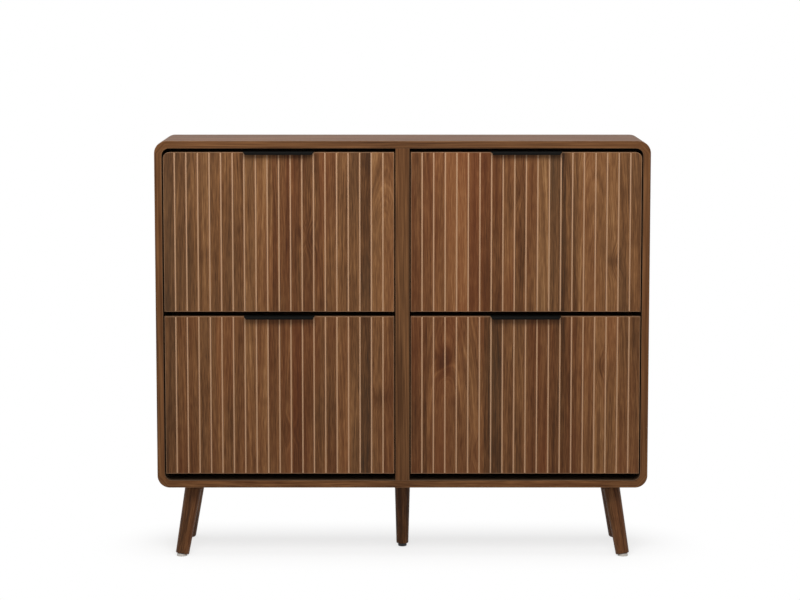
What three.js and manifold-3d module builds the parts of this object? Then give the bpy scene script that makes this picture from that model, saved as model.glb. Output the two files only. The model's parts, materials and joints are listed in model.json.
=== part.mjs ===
// Two-by-two flip-drawer shoe cabinet on splayed legs, in millimetres, +Z up.
// X runs to the right, Y runs from the front to the back, and Z = 0 is the floor.
// Each sub-part is one named mesh; each flip drawer is a group whose origin lies on its pivot axis.
import * as THREE from "three";
import { mergeVertices } from "three/addons/utils/BufferGeometryUtils.js";
import Module from "manifold-3d";

const wasm = await Module();
wasm.setup();

// ---------------------------------------------------------------- driving dimensions

// Case
const CASE_WIDTH = 1200;
const CASE_DEPTH = 240;
const BOARD = 18;
const PARTITION = 34;
const CORNER_R = 30;
const CORNER_INNER_R = 18;
const CORNER_TAIL = 4; // straight stretch of a corner piece past its bend
const BACK_SHEET = 3;
const BACK_SHEET_INSET = 6; // from the case's outline
const BACK_SHEET_SEAM = 1; // between the two sheets, behind the partition

// Fronts
const FRONT_HEIGHT = 388.4;
const FRONT_THICKNESS = 16;
const FRONT_RECESS = 1.5; // behind the case's front edges
const SIDE_GAP = 3.25;
const TOP_GAP = 9.4;
const MIDDLE_GAP = 12;
const BOTTOM_GAP = 16.8;
const FRONT_CORNER_R = 15;
const GROOVE_PITCH = 28;
const GROOVE_WIDTH = 3.4;
const GROOVE_DEPTH = 2;
const SLAT_CHAMFER = 0.6;

// Handles: a strip folded over the front's top edge
const HANDLE_WIDTH = 171;
const HANDLE_SHEET = 2;
const HANDLE_REACH = 14; // in front of the slats
const HANDLE_LIP = 5.5; // below the top sheet's underside
const HANDLE_BACK_LEG = 18;
const HANDLE_END_CUT = 4.5; // how much narrower the lip is at its lower edge, each end

// Pivots
const PIVOT_HEIGHT = 38; // above the front's lower edge
const PIVOT_SETBACK = 9; // behind the front's back face
const PIVOT_PIN_R = 4;
const STOP_PEG_R = 3;
const STOP_RADIUS = 34; // of the peg's arc about the pivot
const STOP_CLOSED_DEG = 80; // where the peg stands, up from straight back
const OPEN_DEG = 50;
const PIN_CLEARANCE = 0.3;
const PIN_SHY = 0.5; // short of the cheek's inner face
const PLATE_SHEET = 2;
const PLATE_MARGIN = 5; // of a pivot plate around its pin and peg

// Shoe rack inside each drawer
const CHEEK = 4;
const CHEEK_SETIN = 10.25; // cheek's outer face from the front's side edge
const CHEEK_BASE = 14; // lowest edge above the front's lower edge
const CHEEK_FLANGE = 14;
const CHEEK_FLANGE_SHEET = 3;
const CHEEK_FRONT_HEIGHT = 248;
const CHEEK_MARGIN = 4; // of the cheek around its trays
const BOSS_R = 8;
const BOSS_LENGTH = 6;
const TRAY_SHEET = 4;
const FRONT_TRAY_DEPTH = 104; // over its back wall
const FRONT_TRAY_HEIGHT = 190;
const REAR_TRAY_DEPTH = 105; // over its back wall
const REAR_TRAY_HEIGHT = 200;
const TRAY_BASE = 24; // front tray's underside above the front's lower edge
const TRAY_RISE = 56; // rear tray above the front tray

// Legs
const LEG_HEIGHT = 174; // floor to the underside of the case
const LEG_TOP_R = 20.5;
const LEG_FOOT_R = 16.5;
const LEG_RIM_R = 3; // rounding of the lower rim
const LEG_INSET_X = 84.5; // leg axis at the underside, from the case's side
const LEG_INSET_Y = 62; // leg axis at the underside, from the case's front or back edge
const LEG_SPLAY_X = 28; // outwards over the leg height
const LEG_SPLAY_Y = 42; // forwards or backwards over the leg height
const LEG_DROP = 13; // leg's top below the underside, on its axis
const LEG_FOOT_RISE = 4.2; // leg's lower end above the floor, on its axis
const LEG_PLATE = 58;
const LEG_PLATE_SHEET = 2.5;
const LEG_BOSS_R = 8;
const GLIDE_R = 12.5;
const CENTRE_LEG_TOP_R = 19.4;
const CENTRE_LEG_FOOT_R = 15;
const LEVELLER_R = 10.75;
const LEVELLER_BASE = 8;
const LEVELLER_STEM_R = 4;
const LEVELLER_STEM = 32;
const SEAT_GAP = 0.3; // between turned pieces and what they seat on

// ---------------------------------------------------------------- derived dimensions

const CASE_HEIGHT = 2 * BOARD + TOP_GAP + MIDDLE_GAP + BOTTOM_GAP + 2 * FRONT_HEIGHT;
const HANDLE_PROUD = HANDLE_REACH - FRONT_RECESS; // in front of the case
const CASE_FRONT_Y = (HANDLE_PROUD - CASE_DEPTH) / 2; // the whole object's box is centred on Y = 0
const BOARD_DEPTH = CASE_DEPTH - BACK_SHEET;
const HALF_WIDTH = CASE_WIDTH / 2;
const HALF_INSIDE = HALF_WIDTH - BOARD;
const CORNER_LEG = Math.max(CORNER_R, BOARD + CORNER_INNER_R) + CORNER_TAIL;

const BAY_WIDTH = HALF_INSIDE - PARTITION / 2;
const BAY_CENTRE = PARTITION / 2 + BAY_WIDTH / 2;
const FRONT_WIDTH = BAY_WIDTH - 2 * SIDE_GAP;
const GROOVES = Math.floor(FRONT_WIDTH / GROOVE_PITCH); // so the outer slats are about as wide as the rest
const LOWER_FRONT_BASE = BOARD + BOTTOM_GAP; // above the underside of the case
const UPPER_FRONT_BASE = LOWER_FRONT_BASE + FRONT_HEIGHT + MIDDLE_GAP;
const PIVOT_Y = FRONT_RECESS + FRONT_THICKNESS + PIVOT_SETBACK; // behind the case's front edges

const CHEEK_OUTER_X = FRONT_WIDTH / 2 - CHEEK_SETIN;
const CHEEK_INNER_X = CHEEK_OUTER_X - CHEEK;
const RACK_DEPTH = FRONT_TRAY_DEPTH + REAR_TRAY_DEPTH;
const RACK_TOP = TRAY_BASE + TRAY_RISE + REAR_TRAY_HEIGHT;

const LEG_LENGTH = Math.hypot(LEG_SPLAY_X, LEG_SPLAY_Y, LEG_HEIGHT);
const LEG_COS = LEG_HEIGHT / LEG_LENGTH;

// ---------------------------------------------------------------- materials

const walnut = new THREE.MeshStandardMaterial({ color: 0x69472e, roughness: 0.55, metalness: 0 });
const slatWalnut = new THREE.MeshStandardMaterial({ color: 0x6e4b31, roughness: 0.55, metalness: 0 });
const legWalnut = new THREE.MeshStandardMaterial({ color: 0x583d2a, roughness: 0.5, metalness: 0 });
const blackMetal = new THREE.MeshStandardMaterial({ color: 0x1e1d1b, roughness: 0.45, metalness: 0.6 });
const blackPlastic = new THREE.MeshStandardMaterial({ color: 0x1a1a1a, roughness: 0.6, metalness: 0 });
const palePlastic = new THREE.MeshStandardMaterial({ color: 0xd8d5cf, roughness: 0.5, metalness: 0 });
const hardboard = new THREE.MeshStandardMaterial({ color: 0x5a4634, roughness: 0.8, metalness: 0 });

// ---------------------------------------------------------------- shape helpers

// Moves each vertex of a geometry to the place that a function gives.
function mapVertices(geometry, place) {
  const position = geometry.getAttribute("position");
  for (let i = 0; i < position.count; i += 1) {
    const [x, y, z] = place(position.getX(i), position.getY(i), position.getZ(i));
    position.setXYZ(i, x, y, z);
  }
  geometry.computeVertexNormals();
  return geometry;
}

// A box from its low and high limits, so that neighbours share exactly the same faces.
function block(x, y, z) {
  const pick = (limits, value) => (value < 0 ? limits[0] : limits[1]);
  return mapVertices(new THREE.BoxGeometry(2, 2, 2), (a, b, c) => [pick(x, a), pick(y, b), pick(z, c)]);
}

function extrudeUnit(shape, curveSegments) {
  return new THREE.ExtrudeGeometry(shape, { depth: 1, steps: 1, bevelEnabled: false, curveSegments });
}

// A profile in X and Z, drawn out from front to back.
function alongY(shape, [front, back], curveSegments = 8) {
  return mapVertices(extrudeUnit(shape, curveSegments), (x, z, t) => [x, t < 0.5 ? back : front, z]);
}

// A profile in Y and Z, drawn out from left to right.
function alongX(shape, [left, right], curveSegments = 8) {
  return mapVertices(extrudeUnit(shape, curveSegments), (y, z, t) => [t < 0.5 ? left : right, y, z]);
}

// A profile in X and Y, drawn out upwards.
function alongZ(shape, [low, high], curveSegments = 8) {
  return mapVertices(extrudeUnit(shape, curveSegments), (x, y, t) => [x, y, t < 0.5 ? low : high]);
}

function outline(points) {
  return new THREE.Shape(points.map(([a, b]) => new THREE.Vector2(a, b)));
}

// A turned piece: a profile of radius and height that starts and ends on the axis, upwards.
function turned(profile, segments) {
  const points = profile.map(([radius, height]) => new THREE.Vector2(radius, height));
  const geometry = new THREE.LatheGeometry(points, segments);
  return mapVertices(geometry, (x, y, z) => [x, -z, y]);
}

// A plain rod about the Z axis.
function rod(radius, low, high, segments) {
  return turned([[0, low], [radius, low], [radius, high], [0, high]], segments);
}

function toSolid(geometry) {
  const bare = geometry.clone();
  bare.deleteAttribute("normal");
  bare.deleteAttribute("uv");
  const merged = mergeVertices(bare, 1e-3);
  return new wasm.Manifold(
    new wasm.Mesh({
      numProp: 3,
      vertProperties: merged.getAttribute("position").array,
      triVerts: new Uint32Array(merged.index.array),
    }),
  );
}

function toGeometry(solid) {
  const mesh = solid.getMesh();
  const geometry = new THREE.BufferGeometry();
  geometry.setAttribute("position", new THREE.BufferAttribute(mesh.vertProperties, 3));
  geometry.setIndex(new THREE.BufferAttribute(mesh.triVerts, 1));
  geometry.computeVertexNormals();
  return geometry;
}

function join(first, ...others) {
  return toGeometry(others.reduce((sum, next) => sum.add(toSolid(next)), toSolid(first)));
}

function cut(first, ...tools) {
  return toGeometry(tools.reduce((rest, tool) => rest.subtract(toSolid(tool)), toSolid(first)));
}

function common(first, second) {
  return toGeometry(toSolid(first).intersect(toSolid(second)));
}

function part(name, geometry, material) {
  const mesh = new THREE.Mesh(geometry, material);
  mesh.name = name;
  return mesh;
}

// ---------------------------------------------------------------- case

// The bent piece between two boards, at one corner of the case: side and level are -1 or +1.
function cornerPiece(side, level) {
  const x = (inset) => side * (HALF_WIDTH - inset);
  const z = (inset) => (level > 0 ? CASE_HEIGHT - inset : inset);
  const bend = (centreInset, radius, from, to) => {
    const steps = 8;
    return Array.from({ length: steps + 1 }, (_, i) => {
      const angle = THREE.MathUtils.degToRad(from + ((to - from) * i) / steps);
      return [x(centreInset - radius * Math.sin(angle)), z(centreInset - radius * Math.cos(angle))];
    });
  };
  const section = outline([
    [x(CORNER_LEG), z(0)],
    ...bend(CORNER_R, CORNER_R, 0, 90),
    [x(0), z(CORNER_LEG)],
    [x(BOARD), z(CORNER_LEG)],
    ...bend(BOARD + CORNER_INNER_R, CORNER_INNER_R, 90, 0),
    [x(CORNER_LEG), z(BOARD)],
  ]);
  return alongY(section, [0, BOARD_DEPTH]);
}

// One of the two sheets on the back, with its two outer corners rounded to follow the case.
function backSheet(side) {
  const radius = Math.max(CORNER_R - BACK_SHEET_INSET, 1);
  const seam = side * (BACK_SHEET_SEAM / 2);
  const edge = side * (HALF_WIDTH - BACK_SHEET_INSET);
  const low = BACK_SHEET_INSET;
  const high = CASE_HEIGHT - BACK_SHEET_INSET;
  const shape = new THREE.Shape();
  shape.moveTo(seam, low);
  shape.lineTo(edge - side * radius, low);
  shape.absarc(edge - side * radius, low + radius, radius, -Math.PI / 2, side > 0 ? 0 : -Math.PI, side < 0);
  shape.lineTo(edge, high - radius);
  shape.absarc(edge - side * radius, high - radius, radius, side > 0 ? 0 : Math.PI, Math.PI / 2, side < 0);
  shape.lineTo(seam, high);
  return alongY(shape, [BOARD_DEPTH, CASE_DEPTH], 6);
}

function buildCase() {
  const group = new THREE.Group();
  group.position.set(0, CASE_FRONT_Y, LEG_HEIGHT);
  const across = [CORNER_LEG - HALF_WIDTH, HALF_WIDTH - CORNER_LEG];
  const deep = [0, BOARD_DEPTH];
  const tall = [CORNER_LEG, CASE_HEIGHT - CORNER_LEG];
  group.add(
    part("top_board", block(across, deep, [CASE_HEIGHT - BOARD, CASE_HEIGHT]), walnut),
    part("bottom_board", block(across, deep, [0, BOARD]), walnut),
    part("left_side_board", block([-HALF_WIDTH, -HALF_INSIDE], deep, tall), walnut),
    part("right_side_board", block([HALF_INSIDE, HALF_WIDTH], deep, tall), walnut),
    part("top_left_corner", cornerPiece(-1, 1), walnut),
    part("top_right_corner", cornerPiece(1, 1), walnut),
    part("bottom_left_corner", cornerPiece(-1, -1), walnut),
    part("bottom_right_corner", cornerPiece(1, -1), walnut),
    part(
      "centre_partition",
      block([-PARTITION / 2, PARTITION / 2], deep, [BOARD, CASE_HEIGHT - BOARD]),
      walnut,
    ),
    part("left_back_sheet", backSheet(-1), hardboard),
    part("right_back_sheet", backSheet(1), hardboard),
  );
  return group;
}

// ---------------------------------------------------------------- pivots

// Where the stop peg stands from the pivot axis, in Y and Z, with the drawer closed.
function stopPoint(degrees) {
  const angle = THREE.MathUtils.degToRad(degrees);
  return [STOP_RADIUS * Math.cos(angle), STOP_RADIUS * Math.sin(angle)];
}

function disc(centreY, centreZ, radius) {
  const shape = new THREE.Shape();
  shape.absarc(centreY, centreZ, radius, 0, 2 * Math.PI, false);
  return shape;
}

// The steel plate on the wall of a bay, with its pivot pin and its stop peg.
// It is made about the pivot axis, for the wall on one side: side is -1 or +1.
function pivotPlate(side) {
  const wall = side * (BAY_WIDTH / 2);
  const face = wall - side * PLATE_SHEET;
  const pinEnd = side * (CHEEK_INNER_X + PIN_SHY);
  const [pegY, pegZ] = stopPoint(STOP_CLOSED_DEG);
  const margin = PIVOT_PIN_R + PLATE_MARGIN;
  const plate = new THREE.Shape();
  const lowY = -Math.min(margin, PIVOT_SETBACK - 1);
  const highY = pegY + margin;
  plate.moveTo(lowY, -margin);
  plate.lineTo(highY, -margin);
  plate.lineTo(highY, pegZ + margin);
  plate.lineTo(lowY, pegZ + margin);
  const span = (from, to) => [Math.min(from, to), Math.max(from, to)];
  const inPlate = face + (side * PLATE_SHEET) / 2;
  return join(
    alongX(plate, span(wall, face)),
    alongX(disc(0, 0, PIVOT_PIN_R), span(inPlate, pinEnd), 10),
    alongX(disc(pegY, pegZ, STOP_PEG_R), span(inPlate, pinEnd), 8),
  );
}

// ---------------------------------------------------------------- flip drawers

// In a drawer's group Y and Z are measured from the pivot axis; these give them from the front.
const fromBackFace = (y) => y - PIVOT_SETBACK;
const fromLowerEdge = (z) => z - PIVOT_HEIGHT;

// A board with upright grooves between flat slats; roundedSide is the side of its rounded top corner, or 0.
function frontBoard(roundedSide) {
  const half = FRONT_WIDTH / 2;
  const face = fromBackFace(-FRONT_THICKNESS);
  const back = fromBackFace(0);
  const floor = face + GROOVE_DEPTH;
  const points = [
    [-half, back],
    [-half, face + SLAT_CHAMFER],
    [-half + SLAT_CHAMFER, face],
  ];
  for (let i = 0; i < GROOVES; i += 1) {
    const centre = (i - (GROOVES - 1) / 2) * GROOVE_PITCH;
    const left = centre - GROOVE_WIDTH / 2;
    const right = centre + GROOVE_WIDTH / 2;
    points.push([left - SLAT_CHAMFER, face], [left, face + SLAT_CHAMFER], [left, floor]);
    points.push([right, floor], [right, face + SLAT_CHAMFER], [right + SLAT_CHAMFER, face]);
  }
  points.push([half - SLAT_CHAMFER, face], [half, face + SLAT_CHAMFER], [half, back]);
  const low = fromLowerEdge(0);
  const high = fromLowerEdge(FRONT_HEIGHT);
  const slatted = alongZ(outline(points), [low, high]);
  if (!roundedSide) return slatted;
  const margin = 1; // of the trimming shape around the board, where it trims nothing
  const corner = roundedSide * half;
  const far = -roundedSide * (half + margin);
  const trim = new THREE.Shape();
  trim.moveTo(far, low - margin);
  trim.lineTo(corner + roundedSide * margin, low - margin);
  trim.lineTo(corner + roundedSide * margin, high - FRONT_CORNER_R);
  trim.lineTo(corner, high - FRONT_CORNER_R);
  trim.absarc(
    corner - roundedSide * FRONT_CORNER_R,
    high - FRONT_CORNER_R,
    FRONT_CORNER_R,
    roundedSide > 0 ? 0 : Math.PI,
    Math.PI / 2,
    roundedSide < 0,
  );
  trim.lineTo(corner - roundedSide * FRONT_CORNER_R, high + margin);
  trim.lineTo(far, high + margin);
  return common(slatted, alongY(trim, [face - margin, back + margin], 8));
}

// A strip folded over the top edge: a leg down the back, a shelf forwards and a lip with cut ends.
function edgeHandle() {
  const top = fromLowerEdge(FRONT_HEIGHT);
  const back = fromBackFace(0);
  const lipFront = fromBackFace(-FRONT_THICKNESS) - HANDLE_REACH;
  const half = HANDLE_WIDTH / 2;
  const lipLow = top - HANDLE_LIP;
  const strip = outline([
    [lipFront, lipLow],
    [lipFront + HANDLE_SHEET, lipLow],
    [lipFront + HANDLE_SHEET, top],
    [back, top],
    [back, top - HANDLE_BACK_LEG],
    [back + HANDLE_SHEET, top - HANDLE_BACK_LEG],
    [back + HANDLE_SHEET, top + HANDLE_SHEET],
    [lipFront, top + HANDLE_SHEET],
  ]);
  const margin = 1; // of the end cuts past the lip
  const endCut = (side) => {
    const wedge = outline([
      [side * half, top + HANDLE_SHEET],
      [side * (half - HANDLE_END_CUT), lipLow],
      [side * (half - HANDLE_END_CUT), lipLow - margin],
      [side * (half + margin), lipLow - margin],
      [side * (half + margin), top + HANDLE_SHEET],
    ]);
    return alongY(wedge, [lipFront - margin, lipFront + HANDLE_SHEET]);
  };
  return cut(alongX(strip, [-half, half]), endCut(-1), endCut(1));
}

// The side of the shoe rack: a cheek with a flange on the front, a bore for the pin and an arc slot.
function rackCheek(side) {
  const y = fromBackFace;
  const z = fromLowerEdge;
  const outer = side * CHEEK_OUTER_X;
  const inner = side * CHEEK_INNER_X;
  const span = (from, to) => [Math.min(from, to), Math.max(from, to)];
  const rearTrayBase = TRAY_BASE + TRAY_RISE;
  const shape = outline([
    [y(0), z(CHEEK_BASE)],
    [y(FRONT_TRAY_DEPTH), z(CHEEK_BASE)],
    [y(RACK_DEPTH + CHEEK_MARGIN), z(rearTrayBase - CHEEK_MARGIN)],
    [y(RACK_DEPTH + CHEEK_MARGIN), z(RACK_TOP + CHEEK_MARGIN)],
    [y(RACK_DEPTH - TRAY_SHEET - CHEEK_MARGIN), z(RACK_TOP + CHEEK_MARGIN)],
    [y(FRONT_TRAY_DEPTH + CHEEK_MARGIN), z(TRAY_BASE + FRONT_TRAY_HEIGHT + CHEEK_MARGIN)],
    [y(FRONT_TRAY_DEPTH - TRAY_SHEET - CHEEK_MARGIN), z(TRAY_BASE + FRONT_TRAY_HEIGHT + CHEEK_MARGIN)],
    [y(CHEEK_FLANGE), z(CHEEK_FRONT_HEIGHT)],
    [y(0), z(CHEEK_FRONT_HEIGHT)],
  ]);
  const boreRadius = PIVOT_PIN_R + PIN_CLEARANCE;
  const bore = new THREE.Path();
  bore.absarc(0, 0, boreRadius, 0, 2 * Math.PI, true);
  const slotHalf = STOP_PEG_R + PIN_CLEARANCE;
  const closed = THREE.MathUtils.degToRad(STOP_CLOSED_DEG);
  const open = THREE.MathUtils.degToRad(STOP_CLOSED_DEG - OPEN_DEG);
  const spare = PIN_CLEARANCE / STOP_RADIUS; // keeps the peg clear of the slot's ends
  const slot = new THREE.Path();
  slot.absarc(0, 0, STOP_RADIUS + slotHalf, closed + spare, open - spare, true);
  const end = (angle) => [STOP_RADIUS * Math.cos(angle), STOP_RADIUS * Math.sin(angle)];
  slot.absarc(...end(open - spare), slotHalf, open - spare, open - spare - Math.PI, true);
  slot.absarc(0, 0, STOP_RADIUS - slotHalf, open - spare, closed + spare, false);
  slot.absarc(...end(closed + spare), slotHalf, closed + spare + Math.PI, closed + spare, true);
  shape.holes.push(bore, slot);
  const ring = disc(0, 0, BOSS_R);
  ring.holes.push(bore);
  const flange = block(
    span(inner, inner - side * CHEEK_FLANGE),
    [y(0), y(CHEEK_FLANGE_SHEET)],
    [z(TRAY_BASE + TRAY_SHEET + CHEEK_MARGIN), z(CHEEK_FRONT_HEIGHT)],
  );
  return join(
    alongX(shape, span(outer, inner), 10),
    alongX(ring, span(outer, outer + side * BOSS_LENGTH), 10),
    flange,
  );
}

// An L-shaped tray between the cheeks: a toe plate and a back wall.
function tray(frontY, base, depth, height) {
  const front = fromBackFace(frontY);
  const back = fromBackFace(frontY + depth);
  const low = fromLowerEdge(base);
  const high = fromLowerEdge(base + height);
  const section = outline([
    [front, low],
    [back, low],
    [back, high],
    [back - TRAY_SHEET, high],
    [back - TRAY_SHEET, low + TRAY_SHEET],
    [front, low + TRAY_SHEET],
  ]);
  return alongX(section, [-CHEEK_INNER_X, CHEEK_INNER_X]);
}

function buildDrawer(name, roundedSide) {
  const group = new THREE.Group();
  const rearTrayBase = TRAY_BASE + TRAY_RISE;
  group.add(
    part(`${name}_front`, frontBoard(roundedSide), slatWalnut),
    part(`${name}_handle`, edgeHandle(), blackMetal),
    part(`${name}_left_cheek`, rackCheek(-1), blackPlastic),
    part(`${name}_right_cheek`, rackCheek(1), blackPlastic),
    part(`${name}_front_tray`, tray(0, TRAY_BASE, FRONT_TRAY_DEPTH, FRONT_TRAY_HEIGHT), blackPlastic),
    part(
      `${name}_rear_tray`,
      tray(FRONT_TRAY_DEPTH, rearTrayBase, REAR_TRAY_DEPTH, REAR_TRAY_HEIGHT),
      blackPlastic,
    ),
  );
  return group;
}

// One bay of the case: its flip drawer and the two pivot plates on its walls.
function buildBay(name, column, base, roundedSide) {
  const pivots = new THREE.Group();
  pivots.add(
    part(`${name}_left_pivot`, pivotPlate(-1), blackMetal),
    part(`${name}_right_pivot`, pivotPlate(1), blackMetal),
  );
  const drawer = buildDrawer(name, roundedSide);
  const group = new THREE.Group();
  group.add(pivots, drawer);
  group.position.set(column * BAY_CENTRE, CASE_FRONT_Y + PIVOT_Y, LEG_HEIGHT + base + PIVOT_HEIGHT);
  return group;
}

// ---------------------------------------------------------------- legs

// A leg's group stands on its axis at the case's underside; its turned pieces point down the axis.
function splayedLeg(name, sideX, sideY) {
  const group = new THREE.Group();
  const behindFront = sideY < 0 ? LEG_INSET_Y : CASE_DEPTH - LEG_INSET_Y;
  group.position.set(sideX * (HALF_WIDTH - LEG_INSET_X), CASE_FRONT_Y + behindFront, LEG_HEIGHT);
  const foot = new THREE.Vector3(sideX * LEG_SPLAY_X, sideY * LEG_SPLAY_Y, -LEG_HEIGHT);
  const tilt = new THREE.Quaternion().setFromUnitVectors(
    new THREE.Vector3(0, 0, 1),
    foot.clone().negate().normalize(),
  );
  const lean = (geometry) => geometry.applyQuaternion(tilt);
  const top = -LEG_DROP / LEG_COS;
  const end = (LEG_FOOT_RISE - LEG_HEIGHT) / LEG_COS;

  const rim = 4; // steps of the rounded rim
  const rounding = Array.from({ length: rim + 1 }, (_, i) => {
    const angle = (i / rim) * (Math.PI / 2);
    return [
      LEG_FOOT_R - LEG_RIM_R * (1 - Math.sin(angle)),
      end + LEG_RIM_R * (1 - Math.cos(angle)),
    ];
  });
  const leg = lean(turned([[0, end], ...rounding, [LEG_TOP_R, top], [0, top]], 32));

  const flange = block(
    [-LEG_PLATE / 2, LEG_PLATE / 2],
    [-LEG_PLATE / 2, LEG_PLATE / 2],
    [-LEG_PLATE_SHEET, 0],
  );
  const bossTop = -LEG_PLATE_SHEET / 2 / LEG_COS;
  const bossEnd = top + SEAT_GAP;
  const wholeBoss = lean(rod(LEG_BOSS_R, bossEnd, bossTop + LEG_BOSS_R, 24));
  const above = block([-LEG_PLATE, LEG_PLATE], [-LEG_PLATE, LEG_PLATE], [-LEG_PLATE_SHEET / 2, LEG_PLATE]);
  const boss = cut(wholeBoss, above);

  const glideTop = end - SEAT_GAP;
  const glideDepth = LEG_FOOT_RISE + GLIDE_R; // past the floor, before it is trimmed there
  const wholeGlide = lean(rod(GLIDE_R, glideTop - glideDepth, glideTop, 24));
  const reach = LEG_LENGTH;
  const underFloor = block([-reach, reach], [-reach, reach], [-2 * reach, -LEG_HEIGHT]);
  group.add(
    part(`${name}_leg`, leg, legWalnut),
    part(`${name}_leg_plate`, join(flange, boss), blackMetal),
    part(`${name}_glide`, cut(wholeGlide, underFloor), palePlastic),
  );
  return group;
}

// The upright leg under the partition, with a levelling foot whose stem runs up inside it.
function centreLeg() {
  const group = new THREE.Group();
  group.position.set(0, CASE_FRONT_Y + CASE_DEPTH / 2, 0);
  const plateLow = LEG_HEIGHT - LEG_PLATE_SHEET;
  const top = plateLow - SEAT_GAP;
  const end = LEVELLER_BASE + SEAT_GAP;
  const boreR = LEVELLER_STEM_R + PIN_CLEARANCE;
  const boreTop = LEVELLER_BASE + LEVELLER_STEM + SEAT_GAP;
  const rim = 1; // small edge break on the lower end
  const leg = turned(
    [
      [0, boreTop],
      [boreR, boreTop],
      [boreR, end],
      [CENTRE_LEG_FOOT_R - rim, end],
      [CENTRE_LEG_FOOT_R, end + rim],
      [CENTRE_LEG_TOP_R, top],
      [0, top],
    ],
    32,
  );
  const plate = block(
    [-LEG_PLATE / 2, LEG_PLATE / 2],
    [-LEG_PLATE / 2, LEG_PLATE / 2],
    [plateLow, LEG_HEIGHT],
  );
  const foot = turned(
    [
      [0, 0],
      [LEVELLER_R - rim, 0],
      [LEVELLER_R, rim],
      [LEVELLER_R, LEVELLER_BASE],
      [LEVELLER_STEM_R, LEVELLER_BASE],
      [LEVELLER_STEM_R, LEVELLER_BASE + LEVELLER_STEM],
      [0, LEVELLER_BASE + LEVELLER_STEM],
    ],
    24,
  );
  group.add(
    part("centre_leg", leg, legWalnut),
    part("centre_leg_plate", plate, blackMetal),
    part("levelling_foot", foot, blackPlastic),
  );
  return group;
}

// ---------------------------------------------------------------- assembly

const shoeCabinet = new THREE.Group();
shoeCabinet.add(
  buildCase(),
  buildBay("upper_left", -1, UPPER_FRONT_BASE, -1),
  buildBay("upper_right", 1, UPPER_FRONT_BASE, 1),
  buildBay("lower_left", -1, LOWER_FRONT_BASE, 0),
  buildBay("lower_right", 1, LOWER_FRONT_BASE, 0),
  splayedLeg("front_left", -1, -1),
  splayedLeg("front_right", 1, -1),
  splayedLeg("rear_left", -1, 1),
  splayedLeg("rear_right", 1, 1),
  centreLeg(),
);

export default shoeCabinet;
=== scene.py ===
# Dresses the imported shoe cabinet: veneered case, grooved flip fronts, folded pulls, shoe racks
# and turned legs. Everything is in metres. X runs to the right, Y from the front to the back,
# and Z = 0 is the floor.
import json
import math

import bmesh
import bpy
from bpy.props import FloatProperty, FloatVectorProperty, IntProperty, PointerProperty
from bpy.types import Operator, Panel, PropertyGroup
from mathutils import Matrix, Vector


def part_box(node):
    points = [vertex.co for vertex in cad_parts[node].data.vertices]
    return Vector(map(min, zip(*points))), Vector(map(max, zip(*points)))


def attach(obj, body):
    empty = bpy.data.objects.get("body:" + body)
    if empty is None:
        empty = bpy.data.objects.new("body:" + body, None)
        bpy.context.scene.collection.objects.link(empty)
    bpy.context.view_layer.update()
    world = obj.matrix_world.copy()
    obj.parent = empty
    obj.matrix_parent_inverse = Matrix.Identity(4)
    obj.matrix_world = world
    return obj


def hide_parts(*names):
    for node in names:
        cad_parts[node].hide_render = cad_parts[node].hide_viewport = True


bl_info = {
    "name": "Walnut shoe cabinet",
    "version": (1, 0, 0),
    "blender": (4, 5, 0),
    "location": "View3D > Sidebar > Cabinet",
    "description": "Builds a flip-drawer shoe cabinet's finished pieces around its packed frame",
    "category": "Object",
}

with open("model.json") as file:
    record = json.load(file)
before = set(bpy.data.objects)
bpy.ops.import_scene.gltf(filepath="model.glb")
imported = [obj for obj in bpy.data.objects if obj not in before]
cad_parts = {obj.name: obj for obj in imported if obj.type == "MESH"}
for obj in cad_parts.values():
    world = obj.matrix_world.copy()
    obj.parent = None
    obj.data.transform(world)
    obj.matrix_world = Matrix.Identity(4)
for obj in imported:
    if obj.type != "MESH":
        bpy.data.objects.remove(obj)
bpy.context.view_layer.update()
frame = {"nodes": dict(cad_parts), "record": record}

MM = 0.001
X, Y, Z = 0, 1, 2
WHITE = (1, 1, 1, 1)
LEFT, RIGHT = -1, 1
HANDS = ((LEFT, "left"), (RIGHT, "right"))
BODIES = frame["record"]["behaviour"]["bodies"]
BODY_OF = {node: body for body, nodes in BODIES.items() for node in nodes}
BAYS = ("upper_left", "upper_right", "lower_left", "lower_right")
LEGS = ("front_left", "front_right", "rear_left", "rear_right")

SHARP_ANGLE = math.radians(21)  # flatter edges than this are shaded smooth
WOOD_GLOSS = 0.155  # specular level of the oiled walnut
# Rings of three widths in the walnut: how many a metre along, across and into the grain, how
# rough they are, and their share in the tone.
RINGS = (((0.9, 34, 34), 0.5, 0.11), ((1.6, 100, 100), 0.6, 0.24), ((3.6, 270, 270), 0.6, 0.33))
CASE_RUN = 0.3  # the figure of the case's veneer is drawn out to 1 / 0.3 times its length
LEG_SPACING = 0.11  # from one leg to the next in the wood that they are turned from

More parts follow.
